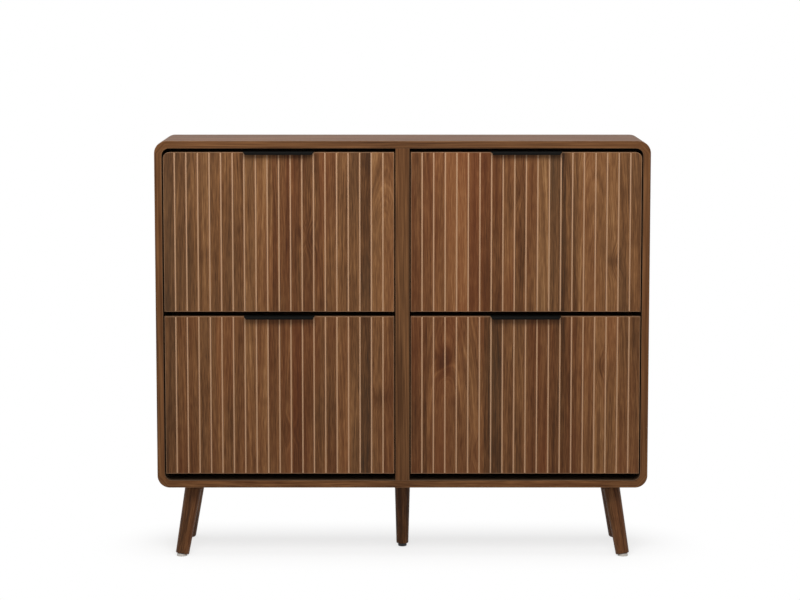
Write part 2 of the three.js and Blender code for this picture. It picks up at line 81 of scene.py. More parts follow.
# The leaves of veneer on each front, from left to right: how many slats wide, how light, how
# red, and where the heart of the tree lies, in slats from the leaf's left edge. A heart inside
# a leaf gives it arches and one far outside gives it straight grain. Lightness and redness are
# steps from the middle.
VENEER_LEAVES = {
    "upper_left": (
        (1, -1.2, -3, 3), (1.3, -0.4, -2, 2.4), (1, 0.6, -1, -4), (0.7, 1.5, -1, -5),
        (1, 0.9, -0.9, 4), (1, 0.2, -0.5, 6), (1, 0.6, -0.3, -3), (1, 1.2, -0.5, -6),
        (1.4, 1.7, 0.6, 5), (1.1, -0.3, 1, -4), (1.8, -1.5, 1.6, 7), (1.2, -1.1, 0.6, -5),
        (1.5, 0.3, 0.8, -4), (1, 0.9, 0, 5), (1, 0.2, -0.9, -3), (1, -2.1, -0.4, 6),
        (2, 1.8, 0.5, 1),
    ),
    "upper_right": (
        (1, -1.3, 1.2, -5), (1, -0.7, 1.8, -4), (1, 0.9, 2.3, 5), (1, 2.1, 2.1, 7),
        (1, 1.9, 3.1, -3), (2, -2, 2.2, -5), (1, -1.6, 1.9, 6), (1, 0.3, 1.2, -4),
        (0.9, -0.5, 0.4, 5), (1.1, 0.5, 0.6, 7), (1, 3, -1.1, -3), (1, -0.2, -1.6, 5),
        (0.4, -2.4, -1.4, 4), (1.1, 0.2, -0.4, -1.4), (3.5, 1.7, 0.2, 1.4), (2, 0.6, -0.5, -1.8),
    ),
    "lower_left": (
        (1, -1.2, -0.8, 6), (2, -0.7, 1.2, -4), (1.4, -0.1, 0.4, -5), (1.6, 0.1, 1, 5),
        (1, -0.4, 1, 7), (1, 1, -0.2, -4), (1, 0.9, 0.8, 4), (1.4, -0.8, 1.8, -6),
        (0.7, -1.1, 1.7, 5), (0.9, -2.5, 1.6, -6), (1.5, -1.2, 1.2, -5), (1.4, -0.4, 0.7, 6),
        (1.2, 0.8, 0.5, -3), (0.9, 0, -0.5, 4), (1, -2.2, -0.9, -5), (1, 0.3, 0.6, 6),
        (1, -0.5, 0.8, -4),
    ),
    "lower_right": (
        (1.4, -1.7, 1.2, -4), (3.2, -0.2, 1.7, 1.6), (1.8, 0.4, 1.4, -0.4), (0.3, -1.6, 0.2, 4),
        (1.3, -2.5, -0.9, -2.5), (1, 0.2, 0.4, 3), (1.3, 0, 0.5, -4), (0.9, -1.3, 1.4, 5),
        (0.8, 0.1, 1.7, 6), (1.4, -1.5, 0.6, 3.2), (1, -1.4, 0.9, -4), (1.5, 0.9, 1, 6),
        (1, 2.2, 0.6, -5), (1.3, 1.2, 0.8, 5), (1.8, 0.4, 0.6, -4),
    ),
}
LEAF_STEP = 0.086  # change of tone for each step of lightness
RED_STEP = 0.19  # change of hue for each step of redness
HEART_SPAN = 2  # hearts lie within this many widths of a front, half of one to either side of it

# Small knots in the veneer: how far from a front's left and lower edges and how big, all in
# slats, and how dark.
KNOTS = {
    "upper_left": ((12.6, 6.5, 1.2, 0.25),),
    "upper_right": ((17.6, 4.4, 1.3, 1), (9.2, 10.5, 1.2, 0.4)),
    "lower_left": ((18.8, 6.6, 1.2, 0.8), (10.8, 3.6, 1.2, 0.2)),
    "lower_right": ((2.9, 10, 1.4, 2.2), (5.6, 2, 1.2, 0.2), (16.6, 9.5, 1.2, 0.6)),
}
KNOT_TONE = 0.3  # how much a knot of darkness 1 darkens the wood
KNOT_BEND = 14 * MM  # how far a knot pushes the rings aside
KNOT_SQUASH = 0.6  # a knot's width as a share of its height


# ---- properties


def linear(code):
    """A six-digit sRGB code as the linear colour that the shaders take."""
    parts = [int(code[i : i + 2], 16) / 255 for i in (0, 2, 4)]
    return tuple(c / 12.92 if c <= 0.04045 else ((c + 0.055) / 1.055) ** 2.4 for c in parts)


def colour(label, about, code):
    return FloatVectorProperty(
        name=label, description=about, subtype="COLOR", size=3, min=0, max=1, default=linear(code)
    )


def number(label, about, value, **kind):
    return FloatProperty(name=label, description=about, default=value, **kind)


def length(label, about, millimetres):
    return number(label, about, millimetres * MM, unit="LENGTH", min=0)


class CabinetSizes(PropertyGroup):
    corner_radius: length("Corner radius", "Outside radius of the case's four corners", 30)
    corner_inner_radius: length("Inner radius", "Inside radius of the case's corners", 18)
    front_corner_radius: length("Front corner", "Rounding of the upper fronts' outer corners", 15)
    arris: length("Arris", "Softened edge of the case boards", 0.9)
    slat_arris: length("Slat arris", "Softened edge of each slat", 0.6)
    groove_pitch: length("Groove pitch", "From one groove of a front to the next", 28)
    groove_width: length("Groove width", "Width of a groove", 3.4)
    groove_depth: length("Groove depth", "Depth of a groove", 2)
    sheet: length("Pull sheet", "Thickness of a pull's folded sheet", 2)
    sheet_arris: length("Sheet arris", "Softened edge of a pull's sheet", 0.25)
    lip: length("Pull lip", "How far a pull's lip hangs below its front's top edge", 5.5)
    lip_end_cut: length("Lip end cut", "How far the lip's lower corners are cut back", 4.5)
    fold_radius: length("Fold radius", "Outside radius of a pull's folds", 2.6)
    moulded_edge: length("Moulded edge", "Softened edge of the plastic racks", 0.5)
    tray_sheet: length("Tray sheet", "Thickness of a tray's floor and wall", 4)
    tray_fold: length("Tray fold", "Rounding where a tray's floor meets its wall", 5)
    tray_panels: IntProperty(name="Tray panels", description="Across a tray", min=1, default=4)
    panel_margin: length("Panel margin", "From a tray's edges and ribs to a moulded panel", 11)
    screw_radius: length("Screw radius", "Radius of a screw's head", 3.4)
    nail_radius: length("Nail radius", "Radius of a back sheet's nail heads", 2.6)
    nail_inset: length("Nail inset", "From a back sheet's edges to its nails", 5)
    nail_spacing: length("Nail spacing", "About how far apart the nails are", 115)
    plate_corner: length("Plate corner", "Rounding of a leg plate's corners", 6)
    rim_radius: length("Leg rim", "Rounding of a splayed leg's lower rim", 3)
    turning_steps: IntProperty(name="Turning steps", description="On a leg", min=12, default=56)


class CabinetFinish(PropertyGroup):
    heart: colour("Heartwood", "Darkest streaks of the walnut", "2a190b")
    dark: colour("Dark walnut", "Dark streaks", "4a2b12")
    middle: colour("Walnut", "The veneer's middle colour", "664225")
    light: colour("Light walnut", "Light streaks", "835935")
    sapwood: colour("Sapwood", "Lightest streaks", "a27950")
    red: colour("Red tint", "Colour that reddish leaves lean to", "80401f")
    grey: colour("Grey tint", "Colour that greyish leaves lean to", "574530")
    # The pale core also serves as a painted highlight along the softened edges and the fronts'
    # rims, together with their wear.
    core: colour("Pale core", "Light wood in the grooves and along worn edges", "bc9675")
    # A brown darker than the case's walnut, put inside the case as painted shade.
    lining_shade_brown: colour("Lining", "Brown laminate inside the case", "4a3929")
    # On the pivot and leg plates this black is also painted shade.
    pull_black: colour("Pull black", "Powder coat of the pulls and plates", "0d0d0c")
    rack_black: colour("Rack black", "Moulded plastic of the shoe racks", "1a1a1b")
    steel: colour("Steel", "Zinc-plated screws and nails", "a9abad")
    board_brown: colour("Hardboard", "The back sheets", "6b4f38")
    glide_white: colour("Glide", "Pale plastic under the legs", "cfcac2")
    # The colour the glides darken towards at their lower edge.
    glide_low_colour: colour("Floor dirt", "What the glides have picked up", "8f877c")


class CabinetStage(PropertyGroup):
    distance: length("Camera distance", "From the case's front to the camera", 5652)
    height: length("Camera height", "Camera above the floor", 1413)
    aside: number("Camera aside", "To the right of centre", -6 * MM, unit="LENGTH")
    pitch: number("Camera pitch", "How far down it looks", math.radians(6.05), subtype="ANGLE")
    lens: number("Lens", "Focal length in millimetres", 105.6)
    shift: number("Lens shift", "How far the lens shifts up, in widths of the frame", -0.09)
    sky: number("Sky", "Strength of the light from all round", 0.525)
    key: number("Key lamp", "Power of the front lamp in watts", 33)
    top: number("Top lamp", "Power of the overhead lamp in watts", 10)
    floor_grey: number("Floor grey", "How much light the floor throws back", 0.62)
    floor_white: number("Floor white", "Share of plain white in the floor under the case", 0.47)
    floor_lift: number("Floor lift", "Light added to the floor as the camera sees it", 0.45)


def sizes():
    return bpy.context.scene.cabinet_sizes


def finish():
    return bpy.context.scene.cabinet_finish


# ---- mesh helpers


def block(lo, hi):
    """A box between two corners."""
    bm = bmesh.new()
    bmesh.ops.create_cube(bm, size=1)
    bmesh.ops.scale(bm, vec=hi - lo, verts=bm.verts)
    bmesh.ops.translate(bm, vec=(lo + hi) / 2, verts=bm.verts)
    return bm


def prism(outline, axis, low, high):
    """An outline in the plane across an axis, drawn out from low to high along it."""
    bm = bmesh.new()
    face = bm.faces.new([bm.verts.new((a, b, 0)) for a, b in outline])
    drawn = bmesh.ops.extrude_face_region(bm, geom=[face])["geom"]
    raised = [v for v in drawn if isinstance(v, bmesh.types.BMVert)]
    bmesh.ops.translate(bm, vec=(0, 0, high - low), verts=raised)
    bmesh.ops.translate(bm, vec=(0, 0, low), verts=bm.verts)
    # (a, b, along) becomes (along, a, b), (a, along, b) or (a, b, along).
    turned = {
        X: Matrix(((0, 0, 1), (1, 0, 0), (0, 1, 0))),
        Y: Matrix(((1, 0, 0), (0, 0, 1), (0, 1, 0))),
        Z: Matrix.Identity(3),
    }[axis]
    bmesh.ops.transform(bm, matrix=turned.to_4x4(), verts=bm.verts)
    bmesh.ops.recalc_face_normals(bm, faces=bm.faces)
    return bm


def spun(profile, steps):
    """A turned piece: a profile of radius and height, from the axis and back, spun about Z."""
    bm = bmesh.new()
    points = [bm.verts.new((radius, 0, height)) for radius, height in profile]
    edges = [bm.edges.new(pair) for pair in zip(points, points[1:])]
    bmesh.ops.spin(
        bm, geom=points + edges, cent=(0, 0, 0), axis=(0, 0, 1), angle=2 * math.pi,
        steps=steps, use_merge=True, use_duplicate=False,
    )
    bmesh.ops.remove_doubles(bm, verts=bm.verts, dist=0.01 * MM)
    bmesh.ops.recalc_face_normals(bm, faces=bm.faces)
    return bm


def edges_on(bm, *planes):
    """The edges that lie in every given plane; a plane is an axis and a place along it."""
    near = 0.02 * MM

    def lies_there(edge):
        return all(abs(v.co[axis] - at) < near for v in edge.verts for axis, at in planes)

    return [edge for edge in bm.edges if lies_there(edge)]


def box_edges(bm, lo, hi, first, second):
    """The four edges of a box, between two corners, that run across these two axes."""
    ends = [((first, a[first]), (second, b[second])) for a in (lo, hi) for b in (lo, hi)]
    return [edge for planes in ends for edge in edges_on(bm, *planes)]


def soften(bm, edges, radius, segments=2, worn=0.0):
    """Rounds these edges; the rounding can be marked pale, which stands for wear through to the
    pale core and is also a painted highlight on the edge.
    """
    wear_and_highlight_layer = bm.faces.layers.float.get("worn") or bm.faces.layers.float.new("worn")
    made = bmesh.ops.bevel(
        bm, geom=edges, offset=radius, offset_type="OFFSET", segments=segments, profile=0.5,
        affect="EDGES", material=-1, clamp_overlap=True,
    )
    # The mark lightens the rounding: partly wear through to the core, partly a painted highlight.
    for face in made["faces"]:
        face[wear_and_highlight_layer] = worn


def set_grain(bm, place):
    """Writes where each vertex lies in the wood: along, across and into the grain."""
    grain = bm.verts.layers.float_vector.new("grain")
    for vert in bm.verts:
        vert[grain] = place(vert.co)


def joined(parts):
    """Several meshes as one."""
    whole = bmesh.new()
    for bm in parts:
        mesh = bpy.data.meshes.new("joined")
        bm.to_mesh(mesh)
        bm.free()
        whole.from_mesh(mesh)
        bpy.data.meshes.remove(mesh)
    return whole


def merged_copy(node):
    """A CAD node's shape with its triangles merged into whole faces."""
    bm = bmesh.new()
    bm.from_mesh(frame["nodes"][node].data)
    bmesh.ops.remove_doubles(bm, verts=bm.verts, dist=0.01 * MM)
    bmesh.ops.dissolve_limit(bm, angle_limit=math.radians(1), verts=bm.verts, edges=bm.edges)
    return bm


def cut_through(bm, place, facing, **settings):
    """Cuts through everything on a plane."""
    everything = bm.verts[:] + bm.edges[:] + bm.faces[:]
    plane = {"plane_co": place, "plane_no": facing}
    return bmesh.ops.bisect_plane(bm, geom=everything, **plane, **settings)["geom_cut"]


def creases(bm, degrees=60):
    """The edges that fold more sharply than an angle."""
    sharp = math.radians(degrees)
    return [e for e in bm.edges if e.is_manifold and e.calc_face_angle(0) > sharp]


def new_object(name, bm, finishes):
    """Puts a mesh into the scene with its materials."""
    mesh = bpy.data.meshes.new(name)
    bm.to_mesh(mesh)
    bm.free()
    for material in finishes:
        mesh.materials.append(material)
    made = bpy.data.objects.new(name, mesh)
    bpy.context.scene.collection.objects.link(made)
    return made


def add_piece(name, bm, finishes, node, extra=False):
    """Makes a mesh a piece that moves with a CAD node, and replaces it unless it is extra."""
    piece = new_object(name, bm, finishes)
    piece.data.shade_smooth()
    piece.data.set_sharp_from_angle(angle=SHARP_ANGLE)
    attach(piece, BODY_OF[node])
    if not extra:
        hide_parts(node)


def dress(node, material):
    """Gives a CAD node that is shown as it is a finish."""
    mesh = frame["nodes"][node].data
    mesh.materials.clear()
    mesh.materials.append(material)


def heads(profile, places, facing, steps):
    """Round heads of one profile, set at these places and facing one way."""
    turn = Vector(facing).to_track_quat("Z", "Y").to_matrix().to_4x4()
    made = []
    for place in places:
        head = spun(profile, steps)
        bmesh.ops.transform(head, matrix=Matrix.Translation(place) @ turn, verts=head.verts)
        made.append(head)
    return joined(made)


def screw_heads(places, facing):
    """Flat screw heads with a round socket."""
    radius = sizes().screw_radius
    height, socket = radius * 0.55, radius * 0.42
    rim = ((radius * 0.8, height), (radius, height * 0.6), (radius, 0), (0, 0))
    profile = ((0, height * 0.3), (socket, height * 0.3), (socket, height), *rim)
    return heads(profile, places, facing, steps=12)


# ---- shader helpers


def maths(operation, reflected=False):
    """A method that adds a Math node to its value, or to another that stands before it."""

    def method(value, *others):
        operands = (*others, value) if reflected else (value, *others)
        return value.shader.add("ShaderNodeMath", enumerate(operands), operation=operation)

    return method


class Value:
    """One output of a shader; arithmetic on it adds Math nodes."""

    def __init__(self, shader, socket):
        self.shader = shader
        self.socket = socket

    __add__ = maths("ADD")
    __radd__ = maths("ADD", reflected=True)
    __sub__ = maths("SUBTRACT")
    __rsub__ = maths("SUBTRACT", reflected=True)
    __mul__ = maths("MULTIPLY")
    __rmul__ = maths("MULTIPLY", reflected=True)
    __gt__ = maths("GREATER_THAN")
    __lt__ = maths("LESS_THAN")
    root = maths("SQRT")
    least = maths("MINIMUM")
    most = maths("MAXIMUM")

    def clamped(self):
        return self.shader.add("ShaderNodeClamp", {"Value": self})


class Shader:
    """Builds the nodes of one material or of the world."""

    def __init__(self, owner):
        owner.use_nodes = True
        self.owner = owner
        self.tree = owner.node_tree
        self.tree.nodes.clear()

    def add(self, kind, inputs=(), output=0, **settings):
        """Adds a node: first its settings, or a ramp's stops, and then what its sockets take."""
        node = self.tree.nodes.new(kind)
        for key, setting in settings.items():
            if key == "stops":
                self.set_stops(node.color_ramp, setting)
            elif key == "interpolation":
                node.color_ramp.interpolation = setting
            else:
                setattr(node, key, setting)
        for key, value in dict(inputs).items():
            if isinstance(value, Value):
                self.tree.links.new(value.socket, node.inputs[key])
            else:
                node.inputs[key].default_value = value
        return Value(self, node.outputs[output]) if len(node.outputs) else node

    def set_stops(self, ramp, stops):
        for i, (place, shade) in enumerate(stops):
            stop = ramp.elements[i] if i < 2 else ramp.elements.new(place)
            stop.position = place
            stop.color = (*shade[:3], 1)

    def coordinates(self):
        return self.add("ShaderNodeTexCoord", output="Object")

    def attribute(self, name, output="Vector"):
        return self.add("ShaderNodeAttribute", output=output, attribute_name=name)

    def split(self, vector):
        node = self.add("ShaderNodeSeparateXYZ", {0: vector}).socket.node
        return [Value(self, output) for output in node.outputs]

    def combine(self, x, y, z):
        return self.add("ShaderNodeCombineXYZ", {0: x, 1: y, 2: z})

    def noise(self, vector, by, detail=2.0, rough=0.5):
        """Smooth noise about 0, between about -1 and 1, so many times a metre on each axis."""
        scaled = self.add("ShaderNodeVectorMath", {0: vector, 1: by}, operation="MULTIPLY")
        inputs = {"Vector": scaled, "Scale": 1, "Detail": detail, "Roughness": rough}
        return (self.add("ShaderNodeTexNoise", inputs) - 0.5) * 2.4

    def between(self, value, low, high):
        """0 below low and 1 above high, with a soft step between."""
        inputs = {"Value": value, "From Min": low, "From Max": high}
        return self.add("ShaderNodeMapRange", inputs, interpolation_type="SMOOTHSTEP")

    def ramp(self, value, stops, interpolation="LINEAR"):
        settings = {"interpolation": interpolation, "stops": stops}
        return self.add("ShaderNodeValToRGB", {0: value}, **settings)

    def mix(self, share, first, second):
        """Mixes two colours; a colour is a socket or three numbers."""
        shades = [c if isinstance(c, Value) else (*c[:3], 1) for c in (first, second)]
        inputs = {0: share, 6: shades[0], 7: shades[1]}
        return self.add("ShaderNodeMix", inputs, output=2, data_type="RGBA")

    def mottled(self, share, look, low, high):
        """One colour, from low to high times as light."""
        return self.mix(share, [c * low for c in look], [min(1, c * high) for c in look])

    def surface(self, base, rough, relief, gloss=0.5, metal=0.0):
        """The principled surface; its relief is a bump's height, distance and strength."""
        bump = self.add("ShaderNodeBump", zip(("Height", "Distance", "Strength"), relief))
        inputs = {
            "Base Color": base,
            "Metallic": metal,
            "Roughness": rough,
            "Normal": bump,
            "Specular IOR Level": gloss,
        }
        self.show(self.add("ShaderNodeBsdfPrincipled", inputs))
        return self.owner

    def show(self, surface, output="ShaderNodeOutputMaterial"):
        self.add(output, {"Surface": surface})


def new_shader(name):
    return Shader(bpy.data.materials.new(name))


def material_for(make):
    """A finish's material, named after the function and made once for all its pieces."""
    name = make.__name__
    return bpy.data.materials.get(name) or make(new_shader(name))


# ---- finishes


def wood(shader, place, heart, tone, red, climb, seed=0.0, bend=0.0, figure=1.0):
    """Walnut from a place along, across and into the grain: its colour, its tone and its height.

    The log's rings are nested cones round a heart that climbs through the wood, so the figure
    is arched near the heart and straight away from it. The seed moves to another length of the
    log, the bend pushes the rings aside, as a knot does, and the figure is how strongly rings
    and clouds show.
    """
    look = finish()
    along, across, depth = shader.split(place)
    there = shader.combine(along + seed, across, depth)
    beside = across + shader.noise(there, (1.6, 8, 8)) * 0.007 - heart
    above = along * climb + depth * 0.4 + shader.noise(there, (1.8, 5, 5)) * 0.02 + 0.004
    reach = (beside * beside + above * above).root() + bend
    log = shader.combine(along + seed, reach, depth)
    rings = sum(shader.noise(log, by, rough=rough) * share for by, rough, share in RINGS)
    fibre = shader.noise(there, (27, 620, 620), rough=0.6)
    cloud = shader.noise(there, (7, 21, 21), rough=0.6)
    calm = 0.32 + shader.between(reach, 0, 0.05) * 0.68  # rings fade near the heart
    shade = 0.5 + tone + (rings * calm + cloud * 0.18) * figure + fibre * 0.4
    streaks = ((0, look.heart), (0.27, look.dark), (0.5, look.middle), (0.74, look.light))
    base = shader.ramp(shade, (*streaks, (1, look.sapwood)))
    hue = red + shader.noise(there, (2.4, 17, 17)) * 0.55
    warmed = shader.mix((hue * 0.5).clamped(), base, look.red)
    aged = shader.mix((hue * -0.5).clamped(), warmed, look.grey)
    pores = shader.between(shader.noise(there, (60, 1100, 1100), detail=1), 0.3, 0.6)
    pored = shader.mix(pores * 0.35, aged, look.heart)
    return pored, shade, fibre * 0.4 - pores


def oiled(shader, base, shade, height, gloss=WOOD_GLOSS):
    """The oiled surface of wood with this colour, tone and height."""
    return shader.surface(
        base=base,
        rough=0.5 + (0.6 - shade) * 0.12,
        relief=(height, 0.12 * MM, 0.6),
        gloss=gloss,
    )


def walnut(name, heart, tone=0.0, red=0.0, seed=0.0, gloss=WOOD_GLOSS, figure=1.0):
    """A walnut finish on pieces whose vertices say where they lie in the wood."""
    shader = new_shader(name)
    place = shader.attribute("grain")
    grain = {"climb": 0.06, "seed": seed, "figure": figure}
    base, shade, height = wood(shader, place, heart, tone, red, **grain)
    # Softened edges lighten towards the pale core: partly wear, partly a painted highlight.
    worn = shader.attribute("worn", "Fac")
    edged = shader.mix(worn * 0.14, base, finish().core)
    return oiled(shader, edged, shade, height, gloss)


def leaf_stops(bay):
    """A ramp over a front's width: lightness, redness and the leaf's heart as a colour."""
    leaves = VENEER_LEAVES[bay]
    slats = sum(leaf[0] for leaf in leaves)
    stops = []
    start = 0
    for width, lightness, redness, heart in leaves:
        place = ((start + heart) / slats + 0.5) / HEART_SPAN
        shade = (0.5 + lightness * LEAF_STEP, 0.5 + redness * RED_STEP, place)
        stops.append((start / slats, shade))
        start += width
    return stops


def knots(shader, bay, x, z):
    """How near a place is to the knots of a front, from 0 to 1, and how dark it is there."""
    slat = sizes().groove_pitch
    near = dark = 0.0
    for right, up, size, darkness in KNOTS[bay]:
        aside = x * (1 / slat) - right
        over = (z * (1 / slat) - up) * KNOT_SQUASH
        here = 1 - shader.between((aside * aside + over * over).root(), 0, size)
        near = here + near
        dark = here * here * darkness + dark
    return near, dark


def from_outline(bay, x, z, width, height):
    """How far inside a front's outline a place is, from its left and lower edges."""
    inside = x.least(width - x).least(z).least(height - z)
    if bay.startswith("lower"):
        return inside
    radius = sizes().front_corner_radius
    out = (x - (width - radius) if bay.endswith("right") else radius - x).most(0)
    up = (z - (height - radius)).most(0)
    return inside.least(radius - (out * out + up * up).root())


def front_veneer(bay, lo, hi):
    """The veneer of one front: leaves side by side, pale wood in the grooves, and a pale rim at
    the edge that is partly wear and partly a painted highlight.
    """
    look = finish()
    shader = new_shader(f"{bay}_front_veneer")
    from_left, from_front, from_bottom = (
        place - start for place, start in zip(shader.split(shader.coordinates()), lo)
    )
    width = hi.x - lo.x
    leaf = shader.ramp(from_left * (1 / width), leaf_stops(bay), "CONSTANT")
    lightness, redness, place = shader.split(leaf)
    # Every tone of leaf and every front comes from another length of the log.
    seed = lightness * 2.7 + redness * 1.9 + 3.1 * BAYS.index(bay)
    grain = shader.combine(from_bottom, from_left, from_front)
    heart = (place * HEART_SPAN - 0.5) * width
    near, dark = knots(shader, bay, from_left, from_bottom)
    tone, red = lightness - 0.5 - dark * KNOT_TONE, redness - 0.5
    log = {"climb": 0.11, "seed": seed, "bend": near * KNOT_BEND}
    base, shade, height = wood(shader, grain, heart, tone, red, **log)
    worn = shader.attribute("worn", "Fac")
    inside = from_outline(bay, from_left, from_bottom, width, hi.z - lo.z)
    rim = 1 - shader.between(inside, 0.8 * MM, 2.2 * MM)  # pale along the outline: partly rubbed wear, partly a painted highlight
    # Both the softened edges and the rim lighten towards the pale core: partly wear, partly a
    # painted highlight.
    edged = shader.mix((worn * 0.12 + rim * 0.26).clamped(), base, look.core)
    inner = inside > 0.9 * MM
    arris, groove_floor = sizes().slat_arris, sizes().groove_depth
    routed = shader.between(from_front, arris, 1.5 * arris)
    cut = routed * (from_front < groove_floor + 0.1 * MM)
    mottle = shader.noise(grain, (5, 300, 300)) * 0.1
    pale = shader.mottled(0.5 + mottle, look.core, 0.86, 1.14)
    return oiled(shader, shader.mix(cut * inner, edged, pale), shade, height)


def painted_shade_lining(shader):
    """The matt brown laminate inside the case, darker than the case's walnut: painted shade for
    the dim inside.
    """
    speck = shader.noise(shader.coordinates(), (500, 500, 500))
    return shader.surface(
        base=shader.mottled(0.5 + speck * 0.4, finish().lining_shade_brown, 0.8, 1.3),
        rough=0.62 + speck * 0.06,
        relief=(speck, 0.05 * MM, 0.5),
        gloss=0.25,
    )


def hardboard(shader):
    """Brown pressed board with long fibres lying all ways."""
    place = shader.coordinates()
    cloud = shader.noise(place, (9, 9, 9), detail=3)
    fleck = shader.noise(place, (260, 260, 90), detail=3, rough=0.7)
    shade = (0.5 + cloud * 0.18 + fleck * 0.3).clamped()
    return shader.surface(
        base=shader.mottled(shade, finish().board_brown, 0.7, 1.35),
        rough=0.72 + fleck * 0.08,
        relief=(fleck, 0.15 * MM, 0.6),
        gloss=0.25,
    )


def black_powder_coat_and_shade(shader):
    """Fine-textured satin black on the pulls, and on the plates, where the black is partly
    painted shade.
    """
    place = shader.coordinates()
    grit = shader.noise(place, (900, 900, 900))
    haze = shader.noise(place, (14, 40, 40))
    shade = 0.5 + haze * 0.3 + grit * 0.12
    return shader.surface(
        base=shader.mottled(shade, finish().pull_black, 0.85, 1.25),
        rough=0.52 + haze * 0.05 + grit * 0.05,
        relief=(grit, 0.04 * MM, 0.7),
        gloss=0.05,
    )


def black_moulded_plastic(shader):
    """Lightly grained black moulded plastic."""
    place = shader.coordinates()
    grain = shader.noise(place, (650, 650, 650), rough=0.6)
    flow = shader.noise(place, (6, 6, 3))
    shade = 0.5 + flow * 0.3 + grain * 0.2
    return shader.surface(
        base=shader.mottled(shade, finish().rack_black, 0.85, 1.3),
        rough=0.5 + grain * 0.06 + flow * 0.04,
        relief=(grain, 0.05 * MM, 0.6),
        gloss=0.4,
    )


def zinc_plated_steel(shader):
    """Zinc-plated steel with a faint spangle and rolling marks."""
    place = shader.coordinates()
    spangle = shader.noise(place, (120, 120, 120), detail=1)
    rolled = shader.noise(place, (40, 900, 60))
    return shader.surface(
        base=shader.mottled(0.5 + spangle * 0.3, finish().steel, 0.8, 1.15),
        metal=0.95,
        rough=0.34 + spangle * 0.06 + rolled * 0.05,
        relief=(rolled, 0.02 * MM, 0.6),
    )


def pale_glide_plastic(shader):
    """Pale plastic that turns darker within a few millimetres of the floor."""
    place = shader.coordinates()
    z = shader.split(place)[2]
    mottle = shader.noise(place, (300, 300, 300))
    reach = 2.5 * MM  # of the darkening above the floor
    low_darkening = (shader.between(reach - z, 0, reach) * (0.35 + mottle * 0.2)).clamped()
    return shader.surface(
        base=shader.mix(low_darkening, finish().glide_white, finish().glide_low_colour),
        rough=0.5 + mottle * 0.06,
        relief=(mottle, 0.04 * MM, 0.5),
        gloss=0.4,
    )


# ---- case


def ring_place(co):
    """Where a point of the case lies in veneer that runs round it from the middle of its top.

    It gives how far along the ring, how far back, and how far in from the outside.
    """
    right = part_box("right_side_board")[1].x
    low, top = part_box("bottom_board")[0].z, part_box("top_board")[1].z
    radius = sizes().corner_radius
    flat = right - radius
    out, up, down = abs(co.x) - flat, co.z - (top - radius), (low + radius) - co.z
    upright = flat + radius * math.pi / 2
    lower = upright + top - low - 2 * radius
    if out > 0 and up > 0:
        along, inset = flat + radius * math.atan2(out, up), radius - math.hypot(out, up)
    elif out > 0 and down > 0:
        along, inset = lower + radius * math.atan2(down, out), radius - math.hypot(out, down)
    elif out > up and out > down:
        along, inset = upright - up, right - abs(co.x)
    elif up > down:
        along, inset = abs(co.x), top - co.z
    else:
        along, inset = lower + radius * math.pi / 2 - out, co.z - low
    return math.copysign(along, co.x) * CASE_RUN, co.y, inset


def partition_place(co):
    """Where a point of the partition lies in its veneer, which is another length of the log."""
    return co.z * CASE_RUN + 3, co.y, co.x


def shade_inside(bm, inwards):
    """Gives the faces that look into the case the darker laminate, which is the second finish and
    paints shade inside the case.
    """
    bm.normal_update()
    for face in bm.faces:
        if face.normal.dot(inwards) > 0.3 and abs(face.normal.y) < 0.3:
            face.material_index = 1


def case_board(node, across, inwards):
    """One flat board with soft front and back edges; across is the axis of its thickness."""
    lo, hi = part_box(node)
    bm = block(lo, hi)
    shade_inside(bm, Vector(inwards))
    soften(bm, box_edges(bm, lo, hi, Y, across), sizes().arris, worn=1)
    return bm


def corner_piece(node, side, level):
    """A bent corner: an L drawn out from front to back, rounded outside and inside."""
    lo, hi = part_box(node)
    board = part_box("top_board")[1].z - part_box("top_board")[0].z
    outer_x, seam_x = (hi.x, lo.x) if side > 0 else (lo.x, hi.x)
    outer_z, seam_z = (hi.z, lo.z) if level > 0 else (lo.z, hi.z)
    inner_x, inner_z = outer_x - side * board, outer_z - level * board
    outside = ((seam_x, outer_z), (outer_x, outer_z), (outer_x, seam_z))
    inside = ((inner_x, seam_z), (inner_x, inner_z), (seam_x, inner_z))
    bm = prism((*outside, *inside), Y, lo.y, hi.y)
    soften(bm, edges_on(bm, (X, outer_x), (Z, outer_z)), sizes().corner_radius, segments=18)
    inner = edges_on(bm, (X, inner_x), (Z, inner_z))
    soften(bm, inner, sizes().corner_inner_radius, segments=12)
    shade_inside(bm, Vector((-side, 0, -level)).normalized())
    seams = set(edges_on(bm, (X, seam_x)) + edges_on(bm, (Z, seam_z)))
    rims = [e for y in (lo.y, hi.y) for e in edges_on(bm, (Y, y)) if e not in seams]
    soften(bm, rims, sizes().arris, worn=1)
    return bm


class CABINET_OT_case(Operator):
    """Builds the veneered boards, bent corners and partition"""

    bl_idname = "cabinet.case"
    bl_label = "Case"

    def execute(self, context):
        look = {"tone": -0.02, "red": -0.04, "seed": 4.6, "gloss": 0.13, "figure": 0.95}
        # The second finish darkens the inside of the case: painted shade.
        finishes = (walnut("case_walnut", heart=0.03, **look), material_for(painted_shade_lining))

        def add(node, bm, place=ring_place):
            set_grain(bm, place)
            add_piece(f"{node}_veneered", bm, finishes, node)

        boards = (
            ("top_board", Z, (0, 0, -1)),
            ("bottom_board", Z, (0, 0, 1)),
            ("left_side_board", X, (1, 0, 0)),
            ("right_side_board", X, (-1, 0, 0)),
        )
        for node, across, inwards in boards:
            add(node, case_board(node, across, inwards))
        for level, height in ((1, "top"), (-1, "bottom")):
            for side, hand in HANDS:
                node = f"{height}_{hand}_corner"
                add(node, corner_piece(node, side, level))
        partition = case_board("centre_partition", X, (1, 0, 0))
        shade_inside(partition, Vector((-1, 0, 0)))
        add("centre_partition", partition, partition_place)
        return {"FINISHED"}


